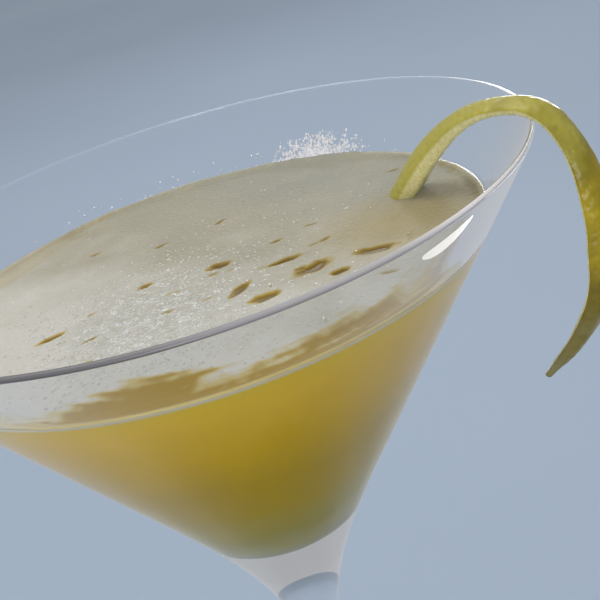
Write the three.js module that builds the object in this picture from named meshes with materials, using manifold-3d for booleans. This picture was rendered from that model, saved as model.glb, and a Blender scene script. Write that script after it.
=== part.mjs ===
// A lemon cocktail in a stemmed cone glass, with froth on the drink and a twist of peel over the rim.
// Millimetres, +Z up. The origin is the centre of the foot's underside, and the foot stands on z = 0.

import * as THREE from 'three';
import { mergeVertices } from 'three/addons/utils/BufferGeometryUtils.js';
import Module from 'manifold-3d';

const wasm = await Module();
wasm.setup();

// Glass
const GLASS_HEIGHT = 172;
const RIM_RADIUS = 54.7;
const WALL = 1.3;
const LIP_WALL = 0.9;
const LIP_TAPER = 9;
const CONE_HALF_ANGLE = THREE.MathUtils.degToRad(35);
const BOWL_FLOOR_RADIUS = 23.5;
const BOWL_FLOOR_STEPS = 5;
const FLARE_START_RADIUS = 21.5;
const FLARE_UPPER_PULL = 22;
const FLARE_LOWER_PULL = 14;
const STEM_TOP = 81;
const STEM_RADIUS = 3.2;
const STEM_FOOT = 15;
const FOOT_RADIUS = 37;
const FOOT_EDGE = 2;
const FOOT_CROWN = 4;
const FOOT_FLARE_RADIUS = 8;
const AROUND = 60;

// Drink and froth
const CLEARANCE = 0.3;
const DRINK_LEVEL = 159.7;
const FROTH_TOP = 160.4;
const FROTH_BOTTOM = 158.4;
const FROTH_EDGE_GAP = 0.4;
const FROTH_AROUND = 60;
const FROTH_RINGS = 7;
const FROTH_SWELL = 0.22;
const FROTH_RIPPLE = 0.2;
const FROTH_EDGE_ROUND = 0.55;
const OPENING_SIDES = 10;

// Where the froth stands back from the wall: direction, spread and depth of each bay
const FROTH_BAYS = [
  { direction: 138, spread: 26, depth: 3.6 },
  { direction: -116, spread: 18, depth: 6.9 },
  { direction: -62, spread: 36, depth: 1.6 },
];

// Openings in the froth that show the drink, from the middle of the surface
const FROTH_OPENINGS = [
  { x: 15.4, y: -15.6, long: 6.4, wide: 2.6, turn: 22 },
  { x: 25.0, y: -16.6, long: 5.6, wide: 2.2, turn: -17 },
  { x: 7.2, y: -20.6, long: 4.2, wide: 2.8, turn: 15 },
  { x: 4.2, y: -14.6, long: 4.8, wide: 1.9, turn: 51 },
  { x: 12.3, y: -9.2, long: 5.4, wide: 1.5, turn: 8 },
  { x: 18.6, y: -20.4, long: 3.2, wide: 1.7, turn: 10 },
  { x: 2.6, y: -2.2, long: 3.6, wide: 2.2, turn: 16 },
  { x: -9.2, y: 0.0, long: 2.6, wide: 1.5, turn: 30 },
  { x: -24.6, y: -9.2, long: 4.6, wide: 1.4, turn: 23 },
];

// Bubbles that stand out of the froth
const BUBBLE_COUNT = 24;
const BUBBLE_SMALLEST = 0.6;
const BUBBLE_LARGEST = 1.4;
const BUBBLE_ROOM = 3.4;
const BUBBLE_SEED = 20;

// Peel: its route lies in one upright plane that leaves the drink at PEEL_START
const PEEL_START = new THREE.Vector2(35.2, 3.7);
const PEEL_HEADING = THREE.MathUtils.degToRad(-53.8);
const PEEL_STEPS = 44;

// Middle line of the peel: distance along its heading, then height over the rim
const PEEL_ROUTE = [
  [-4, -17],
  [0, -12.2],
  [7.5, -4.7],
  [15.6, 0.6],
  [23.2, 2.3],
  [28.9, 1.4],
  [32.6, -2.7],
  [34.8, -9],
  [35.1, -17.9],
  [33.3, -27],
  [28, -35.8],
  [20.8, -43.6],
];

// Peel sizes at shares of its length; roll turns the zest face from the outside of the bend to one side
const PEEL_STATIONS = [
  { at: 0, width: 6.6, thickness: 4.2, roll: 13 },
  { at: 0.14, width: 6.4, thickness: 4.1, roll: 13 },
  { at: 0.4, width: 4.5, thickness: 2.0, roll: 7 },
  { at: 0.5, width: 4.4, thickness: 1.7, roll: 10 },
  { at: 0.6, width: 4.8, thickness: 1.9, roll: 24 },
  { at: 0.7, width: 4.9, thickness: 1.9, roll: 30 },
  { at: 0.82, width: 3.9, thickness: 1.8, roll: 34 },
  { at: 0.92, width: 2.8, thickness: 1.4, roll: 40 },
  { at: 1, width: 1.3, thickness: 0.8, roll: 42 },
];

const slope = Math.tan(CONE_HALF_ANGLE);
const wallNormal = new THREE.Vector2(Math.cos(CONE_HALF_ANGLE), -Math.sin(CONE_HALF_ANGLE));
const lipRadius = LIP_WALL / 2;
const lipCentre = new THREE.Vector2(RIM_RADIUS - lipRadius, GLASS_HEIGHT - lipRadius);
const lipOuter = lipCentre.clone().addScaledVector(wallNormal, lipRadius);
const bowlTop = lipOuter.clone().addScaledVector(wallNormal, -WALL);
const bowlCentreZ = bowlTop.y - bowlTop.x / slope + BOWL_FLOOR_RADIUS / Math.sin(CONE_HALF_ANGLE);

// Inside of the wall where it is full; over the top LIP_TAPER it thins to the lip
function innerWallRadius(z) {
  return bowlTop.x - (bowlTop.y - z) * slope;
}

// Repeatable numbers from 0 to 1
function seededNumbers(seed) {
  let state = seed;
  return () => {
    state = (state * 1664525 + 1013904223) % 4294967296;
    return state / 4294967296;
  };
}

function toSolid(geometry) {
  const bare = geometry.clone();
  bare.deleteAttribute('normal');
  bare.deleteAttribute('uv');
  const merged = mergeVertices(bare, 1e-4);
  return new wasm.Manifold(new wasm.Mesh({
    numProp: 3,
    vertProperties: new Float32Array(merged.attributes.position.array),
    triVerts: new Uint32Array(merged.index.array),
  }));
}

function toGeometry(solid) {
  const mesh = solid.getMesh();
  const geometry = new THREE.BufferGeometry();
  geometry.setAttribute('position', new THREE.BufferAttribute(mesh.vertProperties, 3));
  geometry.setIndex(new THREE.BufferAttribute(mesh.triVerts, 1));
  geometry.computeVertexNormals();
  return geometry;
}

// A solid of revolution about Z from a profile of (radius, height) points
function turned(points, segments) {
  return new THREE.LatheGeometry(points, segments).rotateX(Math.PI / 2);
}

// Moves every vertex of a geometry by a function of its place
function reshaped(geometry, move) {
  const position = geometry.attributes.position;
  const place = new THREE.Vector3();
  for (let i = 0; i < position.count; i += 1) {
    place.fromBufferAttribute(position, i);
    const moved = move(place);
    position.setXYZ(i, moved.x, moved.y, moved.z);
  }
  return geometry;
}

// Glass: the inside of the bowl, the lip, the outside down to the stem, and the foot
function glassGeometry() {
  const flareStartZ = lipOuter.y - (lipOuter.x - FLARE_START_RADIUS) / slope;
  const pullAcross = FLARE_UPPER_PULL * Math.sin(CONE_HALF_ANGLE);
  const pullDown = FLARE_UPPER_PULL * Math.cos(CONE_HALF_ANGLE);
  const edgeRadius = FOOT_EDGE / 2;
  const edgeCentre = FOOT_RADIUS - edgeRadius;

  const bowlFloor = new THREE.Path();
  bowlFloor.absarc(0, bowlCentreZ, BOWL_FLOOR_RADIUS, -Math.PI / 2, -CONE_HALF_ANGLE, false);
  const lip = new THREE.Path();
  lip.absarc(lipCentre.x, lipCentre.y, lipRadius, Math.PI - CONE_HALF_ANGLE, -CONE_HALF_ANGLE, true);
  const flare = new THREE.CubicBezierCurve(
    new THREE.Vector2(FLARE_START_RADIUS, flareStartZ),
    new THREE.Vector2(FLARE_START_RADIUS - pullAcross, flareStartZ - pullDown),
    new THREE.Vector2(STEM_RADIUS, STEM_TOP + FLARE_LOWER_PULL),
    new THREE.Vector2(STEM_RADIUS, STEM_TOP),
  );
  const footTop = new THREE.CubicBezierCurve(
    new THREE.Vector2(STEM_RADIUS, STEM_FOOT),
    new THREE.Vector2(STEM_RADIUS, FOOT_EDGE + FOOT_CROWN),
    new THREE.Vector2(FOOT_FLARE_RADIUS, FOOT_EDGE + FOOT_CROWN / 2),
    new THREE.Vector2(edgeCentre, FOOT_EDGE),
  );
  const footEdge = new THREE.Path();
  footEdge.absarc(edgeCentre, edgeRadius, edgeRadius, Math.PI / 2, -Math.PI / 2, true);

  const taperStart = GLASS_HEIGHT - LIP_TAPER;
  const profile = [
    ...bowlFloor.getPoints(BOWL_FLOOR_STEPS),
    new THREE.Vector2(innerWallRadius(taperStart), taperStart),
    ...lip.getPoints(2),
    ...flare.getPoints(11),
    ...footTop.getPoints(7),
    ...footEdge.getPoints(2).slice(1),
    new THREE.Vector2(0, 0),
  ];
  profile[0].x = 0;
  return turned(profile.reverse(), AROUND);
}

// The plain body of the drink, standing clear of the wall up to its level
function drinkBody() {
  const floorRadius = BOWL_FLOOR_RADIUS - CLEARANCE;
  const topRadius = innerWallRadius(DRINK_LEVEL) - CLEARANCE / Math.cos(CONE_HALF_ANGLE);
  const bowlFloor = new THREE.Path();
  bowlFloor.absarc(0, bowlCentreZ, floorRadius, -Math.PI / 2, -CONE_HALF_ANGLE, false);
  const profile = [
    ...bowlFloor.getPoints(BOWL_FLOOR_STEPS),
    new THREE.Vector2(topRadius, DRINK_LEVEL),
    new THREE.Vector2(0, DRINK_LEVEL),
  ];
  profile[0].x = 0;
  return turned(profile, AROUND);
}

// How far the froth reaches in a direction, in radians
function frothReach(direction) {
  let reach = innerWallRadius(FROTH_BOTTOM) - FROTH_EDGE_GAP;
  for (const bay of FROTH_BAYS) {
    const away = direction - THREE.MathUtils.degToRad(bay.direction);
    const turn = Math.atan2(Math.sin(away), Math.cos(away));
    reach -= bay.depth * Math.exp(-((turn / THREE.MathUtils.degToRad(bay.spread)) ** 2));
  }
  return reach - FROTH_RIPPLE * (1 + Math.sin(9 * direction) * Math.cos(4 * direction + 1));
}

// Low swells of the froth's top
function frothSwell(x, y) {
  return FROTH_SWELL * (Math.sin(0.31 * x + 0.7) * Math.cos(0.27 * y) + 0.5 * Math.sin(0.8 * x - 0.6 * y));
}

// A disc that follows the froth's outline between two heights, plain or with its swells and rounded edge
function frothDisc(low, high, grow, rings) {
  const profile = [new THREE.Vector2(0, low), new THREE.Vector2(1, low)];
  for (let ring = rings; ring >= 0; ring -= 1) {
    profile.push(new THREE.Vector2(ring / rings, high));
  }
  const plain = rings === 1;
  return reshaped(turned(profile, FROTH_AROUND), (place) => {
    const share = Math.hypot(place.x, place.y);
    const direction = Math.atan2(place.y, place.x);
    const reach = frothReach(direction) + grow;
    const moved = new THREE.Vector3(place.x * reach, place.y * reach, place.z);
    if (!plain && place.z > (low + high) / 2) {
      moved.z += frothSwell(moved.x, moved.y);
      moved.z -= share > 0.99 ? FROTH_EDGE_ROUND : 0;
    }
    return moved;
  });
}

// A cutter for one opening, right through the froth
function openingCutter(opening) {
  const throughFroth = 3 * (FROTH_TOP - FROTH_BOTTOM);
  const cutter = new THREE.CylinderGeometry(0.5, 0.5, throughFroth, OPENING_SIDES).rotateX(Math.PI / 2);
  cutter.scale(opening.long, opening.wide, 1);
  cutter.rotateZ(THREE.MathUtils.degToRad(opening.turn));
  return toSolid(cutter.translate(opening.x, opening.y, FROTH_BOTTOM));
}

// Places for the bubbles, clear of the openings, the peel, the edge and one another
function bubblePlaces() {
  const draw = seededNumbers(BUBBLE_SEED);
  const places = [];
  while (places.length < BUBBLE_COUNT) {
    const direction = draw() * 2 * Math.PI;
    const out = Math.sqrt(draw()) * (frothReach(direction) - BUBBLE_ROOM);
    const radius = BUBBLE_SMALLEST + (BUBBLE_LARGEST - BUBBLE_SMALLEST) * draw() ** 2;
    const x = out * Math.cos(direction);
    const y = out * Math.sin(direction);
    const taken = [...places, ...FROTH_OPENINGS, PEEL_START];
    if (taken.every((other) => Math.hypot(other.x - x, other.y - y) > BUBBLE_ROOM)) {
      places.push({ x, y, radius });
    }
  }
  return places;
}

// Peel sizes at a share of its length, eased between the stations
function peelStation(share) {
  const next = Math.max(1, PEEL_STATIONS.findIndex((station) => station.at >= share));
  const before = PEEL_STATIONS[next - 1];
  const after = PEEL_STATIONS[next];
  const ease = THREE.MathUtils.smoothstep(share, before.at, after.at);
  return {
    width: THREE.MathUtils.lerp(before.width, after.width, ease),
    thickness: THREE.MathUtils.lerp(before.thickness, after.thickness, ease),
    roll: THREE.MathUtils.degToRad(THREE.MathUtils.lerp(before.roll, after.roll, ease)),
  };
}

// The peel's cross section, one wide and one thick: a crowned zest face over a narrower pith
function peelSection() {
  const section = new THREE.Shape();
  section.moveTo(-0.5, 0.06);
  section.lineTo(-0.46, -0.36);
  section.lineTo(-0.32, -0.5);
  section.lineTo(0.32, -0.5);
  section.lineTo(0.46, -0.36);
  section.lineTo(0.5, 0.06);
  section.quadraticCurveTo(0, 0.94, -0.5, 0.06);
  return section;
}

// The peel, a straight bar of its section bent along its route
// Grow makes it thicker and its sunk end longer, for the room that the drink and froth leave round it
function peelBar(grow) {
  const heading = new THREE.Vector3(Math.cos(PEEL_HEADING), Math.sin(PEEL_HEADING), 0);
  const up = new THREE.Vector3(0, 0, 1);
  const side = heading.clone().cross(up);
  const route = new THREE.CatmullRomCurve3(PEEL_ROUTE.map(([along, height]) => new THREE.Vector3(
    PEEL_START.x + heading.x * along,
    PEEL_START.y + heading.y * along,
    GLASS_HEIGHT + height,
  )));
  const bar = new THREE.ExtrudeGeometry(peelSection(), {
    depth: 1,
    steps: PEEL_STEPS,
    curveSegments: 5,
    bevelEnabled: false,
  });
  return reshaped(bar, (place) => {
    const share = place.z;
    const station = peelStation(share);
    const along = route.getTangentAt(share);
    const outer = side.clone().cross(along);
    const zest = outer.multiplyScalar(Math.cos(station.roll)).addScaledVector(side, Math.sin(station.roll));
    const across = zest.clone().cross(along);
    return route.getPointAt(share)
      .addScaledVector(along, share === 0 ? -grow : 0)
      .addScaledVector(across, place.x * (station.width + 2 * grow))
      .addScaledVector(zest, place.y * (station.thickness + 2 * grow));
  });
}

const peelPocket = toSolid(peelBar(CLEARANCE));

function drinkGeometry() {
  const bed = frothDisc(FROTH_BOTTOM - CLEARANCE, DRINK_LEVEL + 1, CLEARANCE, 1);
  return toGeometry(toSolid(drinkBody()).subtract(toSolid(bed)).subtract(peelPocket));
}

function frothGeometry() {
  let froth = toSolid(frothDisc(FROTH_BOTTOM, FROTH_TOP, 0, FROTH_RINGS));
  for (const place of bubblePlaces()) {
    const bubble = new THREE.IcosahedronGeometry(place.radius, 1);
    const height = FROTH_TOP + frothSwell(place.x, place.y);
    froth = froth.add(toSolid(bubble.translate(place.x, place.y, height)));
  }
  for (const opening of FROTH_OPENINGS) {
    froth = froth.subtract(openingCutter(opening));
  }
  return toGeometry(froth.subtract(peelPocket));
}

const pieces = {
  glass: {
    geometry: glassGeometry(),
    material: new THREE.MeshStandardMaterial({
      color: '#dfe8ef',
      roughness: 0.03,
      metalness: 0,
      transparent: true,
      opacity: 0.3,
    }),
  },
  drink: {
    geometry: drinkGeometry(),
    material: new THREE.MeshStandardMaterial({ color: '#b8993a', roughness: 0.1, metalness: 0 }),
  },
  froth: {
    geometry: frothGeometry(),
    material: new THREE.MeshStandardMaterial({ color: '#c4c1ae', roughness: 0.5, metalness: 0 }),
  },
  lemon_twist: {
    geometry: peelBar(0),
    material: new THREE.MeshStandardMaterial({ color: '#b9ad2e', roughness: 0.5, metalness: 0 }),
  },
};

const cocktail = new THREE.Group();
for (const [name, piece] of Object.entries(pieces)) {
  const mesh = new THREE.Mesh(piece.geometry, piece.material);
  mesh.name = name;
  cocktail.add(mesh);
}

export default cocktail;
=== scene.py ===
# %% [markdown]
# A lemon cocktail in a stemmed cone glass.
# The construction comes in as a fixed frame, in metres, with the foot's underside on z = 0.
# Each cell below makes one piece of the drink or one finish around that frame.

# %% Load the frame
import math
import bmesh
import bpy
import numpy as np
from mathutils import Matrix, Vector, noise


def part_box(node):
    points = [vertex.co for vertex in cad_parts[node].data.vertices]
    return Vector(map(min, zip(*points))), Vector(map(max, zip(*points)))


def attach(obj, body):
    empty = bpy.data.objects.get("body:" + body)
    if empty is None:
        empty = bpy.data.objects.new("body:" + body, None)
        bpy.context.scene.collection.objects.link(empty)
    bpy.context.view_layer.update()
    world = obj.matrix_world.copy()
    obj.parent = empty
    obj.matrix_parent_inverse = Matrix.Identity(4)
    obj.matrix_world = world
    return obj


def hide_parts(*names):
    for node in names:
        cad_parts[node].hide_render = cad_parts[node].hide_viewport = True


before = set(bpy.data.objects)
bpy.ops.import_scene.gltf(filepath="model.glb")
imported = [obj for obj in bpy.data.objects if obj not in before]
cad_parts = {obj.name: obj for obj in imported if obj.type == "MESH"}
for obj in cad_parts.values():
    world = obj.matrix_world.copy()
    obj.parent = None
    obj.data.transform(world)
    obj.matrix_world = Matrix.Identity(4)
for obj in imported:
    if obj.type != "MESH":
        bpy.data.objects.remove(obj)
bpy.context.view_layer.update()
MM = 0.001
_, glass_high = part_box("glass")
drink_low, drink_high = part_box("drink")
froth_low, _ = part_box("froth")
print("nodes", sorted(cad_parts))

# %% [markdown]
# The camera stands a hand's width in front of the rim, a little above it, and leans to one side.
# Its place and lens were fitted to the rim, the surface of the drink and the sides of the cone.

# %% Camera
RIM_HEIGHT = glass_high.z
CAMERA_BACK = 169.9 * MM
CAMERA_ABOVE_RIM = 48.2 * MM
CAMERA_YAW = math.radians(4.545)
CAMERA_PITCH = math.radians(-22.593)
CAMERA_ROLL = math.radians(-16.870)
CAMERA_LENS_MM = 68.15
SENSOR_MM = 36.0
CLIP_START = 10 * MM

forward = Vector((
    math.sin(CAMERA_YAW) * math.cos(CAMERA_PITCH),
    math.cos(CAMERA_YAW) * math.cos(CAMERA_PITCH),
    math.sin(CAMERA_PITCH),
))
level_right = Vector((math.cos(CAMERA_YAW), -math.sin(CAMERA_YAW), 0))
level_up = level_right.cross(forward)
right = math.cos(CAMERA_ROLL) * level_right + math.sin(CAMERA_ROLL) * level_up
up = right.cross(forward)
camera_data = bpy.data.cameras.new("camera")
camera_data.lens = CAMERA_LENS_MM
camera_data.sensor_width = SENSOR_MM
camera_data.clip_start = CLIP_START
camera = bpy.data.objects.new("camera", camera_data)
turn = Matrix((right, up, -forward)).transposed().to_4x4()
camera.matrix_world = Matrix.Translation((0, -CAMERA_BACK, RIM_HEIGHT + CAMERA_ABOVE_RIM)) @ turn
bpy.context.scene.collection.objects.link(camera)
bpy.context.scene.camera = camera
print("camera at", [round(c, 4) for c in camera.location])

# %% [markdown]
# Every finish is a small node tree. Colours are picked as sRGB hex values, as in a paint program,
# and one function turns them to the linear values that shaders add and multiply.
# One more function adds a node, sets its values and joins its inputs. A colour ramp also takes stops.

# %% Helpers for finishes
def linear(hex_colour):
    channels = [int(hex_colour[i:i + 2], 16) / 255 for i in (1, 3, 5)]
    return [c / 12.92 if c <= 0.04045 else ((c + 0.055) / 1.055) ** 2.4 for c in channels] + [1.0]


def new_material(name):
    material = bpy.data.materials.new(name)
    material.use_nodes = True
    return material, material.node_tree, material.node_tree.nodes["Principled BSDF"]


def add_node(tree, kind, inputs=None, stops=(), **settings):
    node = tree.nodes.new(kind)
    for name, value in settings.items():
        setattr(node, name, value)
    if stops:
        elements = node.color_ramp.elements
        for _ in stops[2:]:
            elements.new(1.0)
        for element, (place, hex_colour) in zip(elements, stops):
            element.position = place
            element.color = linear(hex_colour)
    set_inputs(tree, node, inputs or {})
    return node


def set_inputs(tree, node, inputs):
    for name, value in inputs.items():
        if isinstance(value, bpy.types.NodeSocket):
            tree.links.new(value, node.inputs[name])
        else:
            node.inputs[name].default_value = value


# %% [markdown]
# A piece is a mesh object at the origin, with its place in its vertices, so patterns on Object
# coordinates stay put. It rides on the one body of this part, and it may stand for a node of the
# frame, which is then hidden.

# %% Helpers for pieces
MERGE_DISTANCE = 0.002 * MM


def finish_piece(name, mesh, material, node=None):
    mesh.materials.append(material)
    mesh.polygons.foreach_set("use_smooth", [True] * len(mesh.polygons))
    piece = bpy.data.objects.new(name, mesh)
    bpy.context.scene.collection.objects.link(piece)
    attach(piece, "root")
    if node:
        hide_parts(node)
    triangles = sum(len(face.vertices) - 2 for face in mesh.polygons)
    print(name, triangles, "triangles")
    return piece


def mesh_from(bm, name):
    bmesh.ops.remove_doubles(bm, verts=bm.verts, dist=MERGE_DISTANCE)
    bmesh.ops.recalc_face_normals(bm, faces=bm.faces)
    mesh = bpy.data.meshes.new(name)
    bm.to_mesh(mesh)
    bm.free()
    return mesh


def turned(profile, steps):
    bm = bmesh.new()
    verts = [bm.verts.new((radius, 0, height)) for radius, height in profile]
    edges = [bm.edges.new(pair) for pair in zip(verts, verts[1:])]
    bmesh.ops.spin(bm, geom=verts + edges, axis=(0, 0, 1), cent=(0, 0, 0), angle=math.tau,
                   steps=steps, use_merge=True)
    return bm


def smooth_step(low, high, value):
    share = np.clip((value - low) / (high - low), 0, 1)
    return share * share * (3 - 2 * share)


def arc(centre, radius, start, end, steps):
    angles = [start + (end - start) * i / steps for i in range(steps + 1)]
    return [(centre[0] + radius * math.cos(a), centre[1] + radius * math.sin(a)) for a in angles]


def bezier(points, steps):
    weights = [((1 - t) ** 3, 3 * t * (1 - t) ** 2, 3 * t * t * (1 - t), t ** 3)
               for t in (i / steps for i in range(steps + 1))]
    return [tuple(sum(w * p[axis] for w, p in zip(row, points)) for axis in (0, 1)) for row in weights]


# %% [markdown]
# The glass is blown and fire-polished, so its wall is thin, its lip is round and every line is soft.
# It is a figure of revolution: one outline from the bowl's floor over the lip down to the foot,
# spun about the stem. The outline repeats the construction's sizes: the wall thins near the lip and
# the glass is thick under the bowl's round floor. A ring close to each end of a straight stretch
# keeps the smooth shading of the lip from spreading down the wall.

# %% Glass
RIM_RADIUS = glass_high.x
WALL = 1.3 * MM
LIP_WALL = 0.9 * MM
LIP_TAPER = 9 * MM
CONE = math.radians(35)
BOWL_FLOOR_RADIUS = 23.5 * MM
FLARE_START = 21.5 * MM
FLARE_UPPER_PULL = 22 * MM
FLARE_LOWER_PULL = 14 * MM
STEM_TOP = 81 * MM
STEM_RADIUS = 3.2 * MM
STEM_FOOT = 15 * MM
FOOT_RADIUS = 37 * MM
FOOT_EDGE = 2 * MM
FOOT_CROWN = 4 * MM
FOOT_FLARE_RADIUS = 8 * MM
EDGE_HOLD = 0.25 * MM

# Steps round the stem and along each stretch of the outline
GLASS_STEPS = 224
BOWL_FLOOR_STEPS = 16
WALL_STEPS = 10
TAPER_STEPS = 4
LIP_STEPS = 14
FLARE_STEPS = 36
STEM_STEPS = 6
FOOT_STEPS = 24
FOOT_EDGE_STEPS = 8

slope = math.tan(CONE)
lip = (RIM_RADIUS - LIP_WALL / 2, RIM_HEIGHT - LIP_WALL / 2)
lip_outer = (lip[0] + math.cos(CONE) * LIP_WALL / 2, lip[1] - math.sin(CONE) * LIP_WALL / 2)
bowl_top = (lip_outer[0] - math.cos(CONE) * WALL, lip_outer[1] + math.sin(CONE) * WALL)
bowl_centre = bowl_top[1] - bowl_top[0] / slope + BOWL_FLOOR_RADIUS / math.sin(CONE)
flare_height = lip_outer[1] - (lip_outer[0] - FLARE_START) / slope


def inner_wall(height):
    return bowl_top[0] - (bowl_top[1] - height) * slope


def straight(start, end, steps):
    hold = EDGE_HOLD / math.dist(start, end)
    shares = [hold] + [i / steps for i in range(1, steps)] + [1 - hold]
    return [tuple(a + (b - a) * share for a, b in zip(start, end)) for share in shares]


def glass_outline():
    down = -math.pi / 2
    bowl_floor = arc((0, bowl_centre), BOWL_FLOOR_RADIUS, down, -CONE, BOWL_FLOOR_STEPS)
    taper = (inner_wall(RIM_HEIGHT - LIP_TAPER), RIM_HEIGHT - LIP_TAPER)
    lip_round = arc(lip, LIP_WALL / 2, math.pi - CONE, -CONE, LIP_STEPS)
    pull_in = FLARE_UPPER_PULL * math.sin(CONE)
    pull_down = FLARE_UPPER_PULL * math.cos(CONE)
    flare = bezier((
        (FLARE_START, flare_height),
        (FLARE_START - pull_in, flare_height - pull_down),
        (STEM_RADIUS, STEM_TOP + FLARE_LOWER_PULL),
        (STEM_RADIUS, STEM_TOP),
    ), FLARE_STEPS)
    foot_top = bezier((
        (STEM_RADIUS, STEM_FOOT),
        (STEM_RADIUS, FOOT_EDGE + FOOT_CROWN),
        (FOOT_FLARE_RADIUS, FOOT_EDGE + FOOT_CROWN / 2),
        (FOOT_RADIUS - FOOT_EDGE / 2, FOOT_EDGE),
    ), FOOT_STEPS)
    edge_centre = (FOOT_RADIUS - FOOT_EDGE / 2, FOOT_EDGE / 2)
    foot_edge = arc(edge_centre, FOOT_EDGE / 2, math.pi / 2, down, FOOT_EDGE_STEPS)
    inside = bowl_floor + straight(bowl_floor[-1], taper, WALL_STEPS)
    inside += straight(taper, lip_round[0], TAPER_STEPS)
    outside = straight(lip_round[-1], flare[0], WALL_STEPS) + flare
    stem = straight(flare[-1], foot_top[0], STEM_STEPS)
    return inside + lip_round + outside + stem + foot_top + foot_edge[1:] + [(0, 0)]


# %% [markdown]
# Soda-lime glass, fire-polished: clear, with a trace of waviness from the blowing that bends the
# lights in it. It casts no shadow, since clear glass takes away little light, and it is left out of
# mirror images for the reason that the cell on light gives.

# %% Glass finish
GLASS_IOR = 1.5
GLASS_WAVE_MM = 24

glass_finish, tree, shader = new_material("fire-polished soda-lime glass")
place = add_node(tree, "ShaderNodeTexCoord")
wave = add_node(tree, "ShaderNodeTexNoise", {
    "Vector": place.outputs["Object"],
    "Scale": 1 / (GLASS_WAVE_MM * MM),
    "Detail": 1.0,
})
waviness = add_node(tree, "ShaderNodeBump", {
    "Height": wave.outputs["Fac"],
    "Strength": 0.06,
    "Distance": 1 * MM,
})
set_inputs(tree, shader, {
    "Base Color": linear("#fbfdff"),
    "Transmission Weight": 1.0,
    "Roughness": 0.0,
    "IOR": GLASS_IOR,
    "Normal": waviness.outputs["Normal"],
})

glass_mesh = mesh_from(turned(glass_outline(), GLASS_STEPS), "glass_body")
glass = finish_piece("glass_body", glass_mesh, glass_finish, "glass")
glass.visible_shadow = False
glass.visible_glossy = False

# %% [markdown]
# On its near side the lip carries a band of painted light: an opaque shell, painted grey on the left
# as painted shade and nearly white on the right as a painted highlight. It is a thin shell round the
# lip, from one closed line that is spun part of the way and capped at both ends. Towards its ends
# the band narrows to a thin line on the crest of the lip.

# %% Painted rim line on the lip
BAND_LIFT = 0.03 * MM
BAND_DEPTH = 0.12 * MM
BAND_OUTSIDE = math.radians(-22)
BAND_INSIDE = math.radians(118)
BAND_START = math.radians(-172)
BAND_SPAN = math.radians(158)
BAND_STEPS = 150
BAND_TAPER = math.radians(60)
BAND_NARROW = 0.8
CREST = math.radians(65)
BAND_ARC_STEPS = 12


def lip_band_mesh():
    outer = arc(lip, LIP_WALL / 2 + BAND_LIFT, BAND_INSIDE, BAND_OUTSIDE, BAND_ARC_STEPS)
    inner = arc(lip, LIP_WALL / 2 - BAND_DEPTH, BAND_OUTSIDE, BAND_INSIDE, BAND_ARC_STEPS)
    bm = bmesh.new()
    verts = [bm.verts.new((radius, 0, height)) for radius, height in outer + inner]
    edges = [bm.edges.new(pair) for pair in zip(verts, verts[1:] + verts[:1])]
    bmesh.ops.rotate(bm, verts=verts, cent=(0, 0, 0), matrix=Matrix.Rotation(BAND_START, 3, "Z"))
    bmesh.ops.spin(bm, geom=verts + edges, axis=(0, 0, 1), cent=(0, 0, 0), angle=BAND_SPAN,
                   steps=BAND_STEPS)
    bmesh.ops.holes_fill(bm, edges=[edge for edge in bm.edges if edge.is_boundary])
    crest_radius = lip[0] + LIP_WALL / 2 * math.cos(CREST)
    crest_height = lip[1] + LIP_WALL / 2 * math.sin(CREST)
    for vert in bm.verts:
        direction = math.atan2(vert.co.y, vert.co.x)
        to_end = min(direction - BAND_START, BAND_START + BAND_SPAN - direction)
        outward = Vector((math.cos(direction), math.sin(direction), 0))
        crest = crest_radius * outward + Vector((0, 0, crest_height))
        narrow = BAND_NARROW * (1 - float(smooth_step(0, BAND_TAPER, to_end)))
        vert.co = vert.co.lerp(crest, narrow)
    return mesh_from(bm, "lip_band")


# %% [markdown]
# The band is opaque with a satin finish. Its colour is painted light: grey painted shade on the left
# turns to a painted white highlight on the right, and it is painted darker below the crest of the lip.

# %% Painted rim line finish
DULL_BELOW_RIM = 0.65 * MM
BRIGHT_BELOW_RIM = 0.15 * MM

rim_line_finish, tree, shader = new_material("painted rim line")
place = add_node(tree, "ShaderNodeTexCoord")
axes = add_node(tree, "ShaderNodeSeparateXYZ", {"Vector": place.outputs["Object"]})
left_to_right = add_node(tree, "ShaderNodeMapRange", {
    "Value": axes.outputs["X"],
    "From Min": -RIM_RADIUS,
    "From Max": RIM_RADIUS,
})
# Painted shade and highlight: grey on the left, nearly white on the right.
rim_light_tone = add_node(tree, "ShaderNodeValToRGB", {"Fac": left_to_right.outputs["Result"]}, stops=(
    (0.3, "#757374"), (0.42, "#838182"), (0.52, "#aaa6a8"), (0.7, "#c9c5c3"), (0.8, "#f6f3f0"),
))
up_the_lip = add_node(tree, "ShaderNodeMapRange", {
    "Value": axes.outputs["Z"],
    "From Min": RIM_HEIGHT - DULL_BELOW_RIM,
    "From Max": RIM_HEIGHT - BRIGHT_BELOW_RIM,
})
# Painted shade below the crest of the lip, white on the crest.
crest_shade = add_node(tree, "ShaderNodeValToRGB", {"Fac": up_the_lip.outputs["Result"]}, stops=(
    (0.0, "#bcb4ba"), (1.0, "#ffffff"),
))
rim_line_colour = add_node(tree, "ShaderNodeMix", {
    "Factor": 1.0,
    "A": rim_light_tone.outputs["Color"],
    "B": crest_shade.outputs["Color"],
}, data_type="RGBA", blend_type="MULTIPLY")
set_inputs(tree, shader, {
    "Base Color": rim_line_colour.outputs["Result"],
    "Roughness": 0.35,
    "IOR": GLASS_IOR,
})
finish_piece("lip_band", lip_band_mesh(), rim_line_finish)

# %% [markdown]
# The drink fills the bowl. Seen through a real glass the liquid seems to reach the outside, because
# it wets the wall, so this piece reaches a little way into the wall and no air gap shows.
# Its surface climbs the wall in a small meniscus.

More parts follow.
